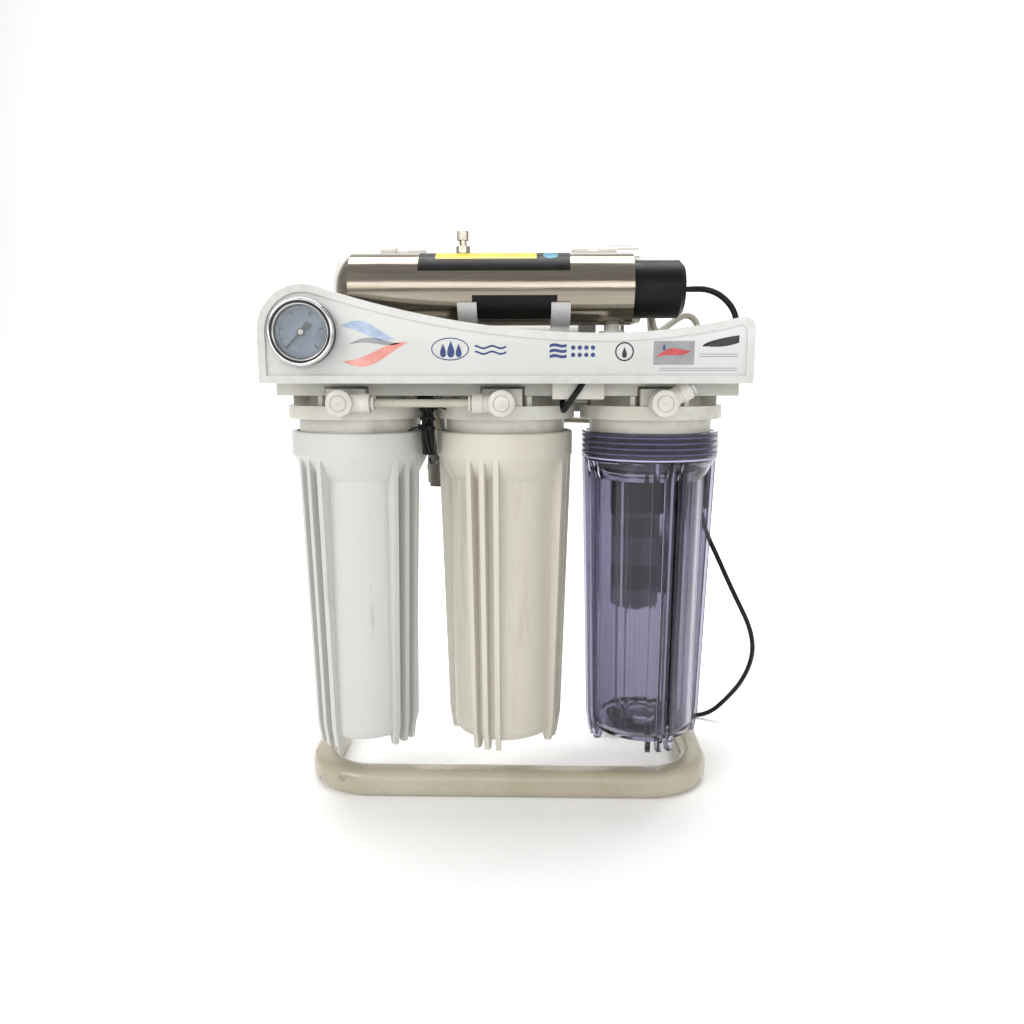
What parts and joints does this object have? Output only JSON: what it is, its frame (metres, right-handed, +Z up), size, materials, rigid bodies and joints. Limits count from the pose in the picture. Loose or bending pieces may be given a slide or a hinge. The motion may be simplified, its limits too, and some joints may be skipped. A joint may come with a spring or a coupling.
{
  "type": "reverse osmosis unit",
  "caption": "Stand-mounted reverse osmosis water purifier with screw-on filter bowls, an ultraviolet chamber, a membrane housing, a booster pump and a pressure gauge on a bent-tube stand.",
  "frame": {"origin": "on the floor, under the middle of the unit", "axes": "+X to the right seen from the front, +Y to the back, +Z up"},
  "size_m": [0.4444, 0.264, 0.4899],
  "materials": {
    "stand_paint": "satin cream enamel with chips and rust specks at the bends",
    "bracket_paint": "grey enamel sheet steel",
    "zinc": "zinc plated",
    "fascia_plastic": "glossy off-white moulding",
    "gauge_black": "black enamelled gauge case",
    "gauge_chrome": "polished bezel",
    "gauge_glass": "clear flat lens",
    "dial_face": "grey-blue dial",
    "brass": "plain brass",
    "pointer_black": "black pointer",
    "head_white": "white polypropylene",
    "rubber": "black rubber ring",
    "bowl_white": "cool white polypropylene with scuffed ribs",
    "bowl_cream": "warmer, aged white polypropylene",
    "bowl_tinted": "violet-blue tinted clear plastic",
    "felt_white": "spun polypropylene",
    "carbon_black": "carbon block in net",
    "fitting_white": "white acetal",
    "collet_grey": "light grey acetal",
    "hose_white": "milky polyethylene tube",
    "stainless": "polished stainless tube",
    "quartz": "clear quartz",
    "lamp_glass": "lamp tube",
    "boot_black": "black rubber end cap",
    "clip_grey": "light grey spring clips",
    "valve_chrome": "plated valve",
    "cable_black": "black flexible cable",
    "housing_white": "white polypropylene housing",
    "element_wrap": "taped membrane roll",
    "motor_grey": "grey motor can",
    "pump_black": "black moulded plastic",
    "valve_body": "grey-brown plastic valve body",
    "adapter_black": "black textured adapter case",
    "switch_grey": "light grey switch body"
  },
  "bodies": {
    "root": {"stand_tube": "stand_paint", "top_bracket": "bracket_paint", "mount_plates": "zinc", "bracket_bolts": "zinc", "head_screws": "zinc", "fascia_panel": "fascia_plastic", "fascia_screws": "zinc", "gauge_case": "gauge_black", "gauge_bezel": "gauge_chrome", "gauge_lens": "gauge_glass", "gauge_dial": "dial_face", "gauge_movement": "brass", "head_left": "head_white", "head_middle": "head_white", "head_right": "head_white", "front_elbows": "fitting_white", "inlet_elbow": "fitting_white", "rear_elbows": "fitting_white", "link_tubes": "hose_white", "uv_chamber": "stainless", "quartz_sleeve": "quartz", "uv_lamp": "lamp_glass", "uv_end_boot": "boot_black", "housing_clips": "clip_grey", "housing_elbows": "fitting_white", "bleed_valve_body": "valve_chrome", "uv_cable": "cable_black", "membrane_housing": "housing_white", "membrane_cap": "housing_white", "membrane_element": "element_wrap", "post_filter": "housing_white", "inline_fittings": "fitting_white", "feed_tubes": "hose_white", "product_tubes": "hose_white", "drain_tube": "hose_white", "gauge_tube": "hose_white", "pump_motor": "motor_grey", "pump_head": "pump_black", "solenoid_valve": "valve_body", "solenoid_coil": "pump_black", "adapter_box": "adapter_black", "wiring_loom": "cable_black", "cables": "cable_black", "pressure_switch": "switch_grey", "outlet_fittings": "fitting_white", "power_cord": "cable_black", "cord_coil": "cable_black", "power_plug": "cable_black", "cord_strain_relief": "cable_black"},
    "seal_left": {"bowl_seal_left": "rubber"},
    "seal_middle": {"bowl_seal_middle": "rubber"},
    "seal_right": {"bowl_seal_right": "rubber"},
    "bowl_left_turning": {"bowl_left": "bowl_white", "sediment_cartridge": "felt_white"},
    "bowl_middle_turning": {"bowl_middle": "bowl_cream", "carbon_cartridge": "carbon_black"},
    "bowl_clear_turning": {"bowl_clear": "bowl_tinted"},
    "pointer": {"gauge_pointer": "pointer_black"},
    "vent_knob": {"bleed_valve_knob": "valve_chrome"},
    "release_collet": {"inlet_collet": "collet_grey"}
  },
  "joints": [
    {"name": "bowl_left_lower", "type": "slide", "parent": "root", "child": "seal_left", "axis": [0, 0, -1], "range_m": [0, 0.0205]},
    {"name": "bowl_left_unscrew", "type": "hinge", "parent": "seal_left", "child": "bowl_left_turning", "pos_m": [-0.13, -0.0125, 0.3], "axis": [0, 0, -1], "range_deg": [0, 1440]},
    {"name": "bowl_middle_lower", "type": "slide", "parent": "root", "child": "seal_middle", "axis": [0, 0, -1], "range_m": [0, 0.0205]},
    {"name": "bowl_middle_unscrew", "type": "hinge", "parent": "seal_middle", "child": "bowl_middle_turning", "pos_m": [-0.003, -0.0125, 0.3], "axis": [0, 0, -1], "range_deg": [0, 1440]},
    {"name": "bowl_right_lower", "type": "slide", "parent": "root", "child": "seal_right", "axis": [0, 0, -1], "range_m": [0, 0.0205]},
    {"name": "bowl_right_unscrew", "type": "hinge", "parent": "seal_right", "child": "bowl_clear_turning", "pos_m": [0.124, -0.0125, 0.3], "axis": [0, 0, -1], "range_deg": [0, 1440]},
    {"name": "gauge_pointer_turn", "type": "hinge", "parent": "root", "child": "pointer", "pos_m": [-0.154, -0.104, 0.409], "axis": [0, 1, 0], "range_deg": [0, 270], "stiffness_Nm_per_rad": 0.001},
    {"name": "bleed_valve_turn", "type": "hinge", "parent": "root", "child": "vent_knob", "pos_m": [-0.0345, -0.0575, 0.48], "axis": [0, 0, 1], "range_deg": [0, 720]},
    {"name": "inlet_collet_press", "type": "slide", "parent": "root", "child": "release_collet", "axis": [-0.866, 0, -0.5], "range_m": [0, 0.0015]}
  ],
  "couplings": [
    {"joint": "bowl_left_lower", "follows": "bowl_left_unscrew", "m_per_rad": 0.00079577},
    {"joint": "bowl_middle_lower", "follows": "bowl_middle_unscrew", "m_per_rad": 0.00079577},
    {"joint": "bowl_right_lower", "follows": "bowl_right_unscrew", "m_per_rad": 0.00079577}
  ]
}
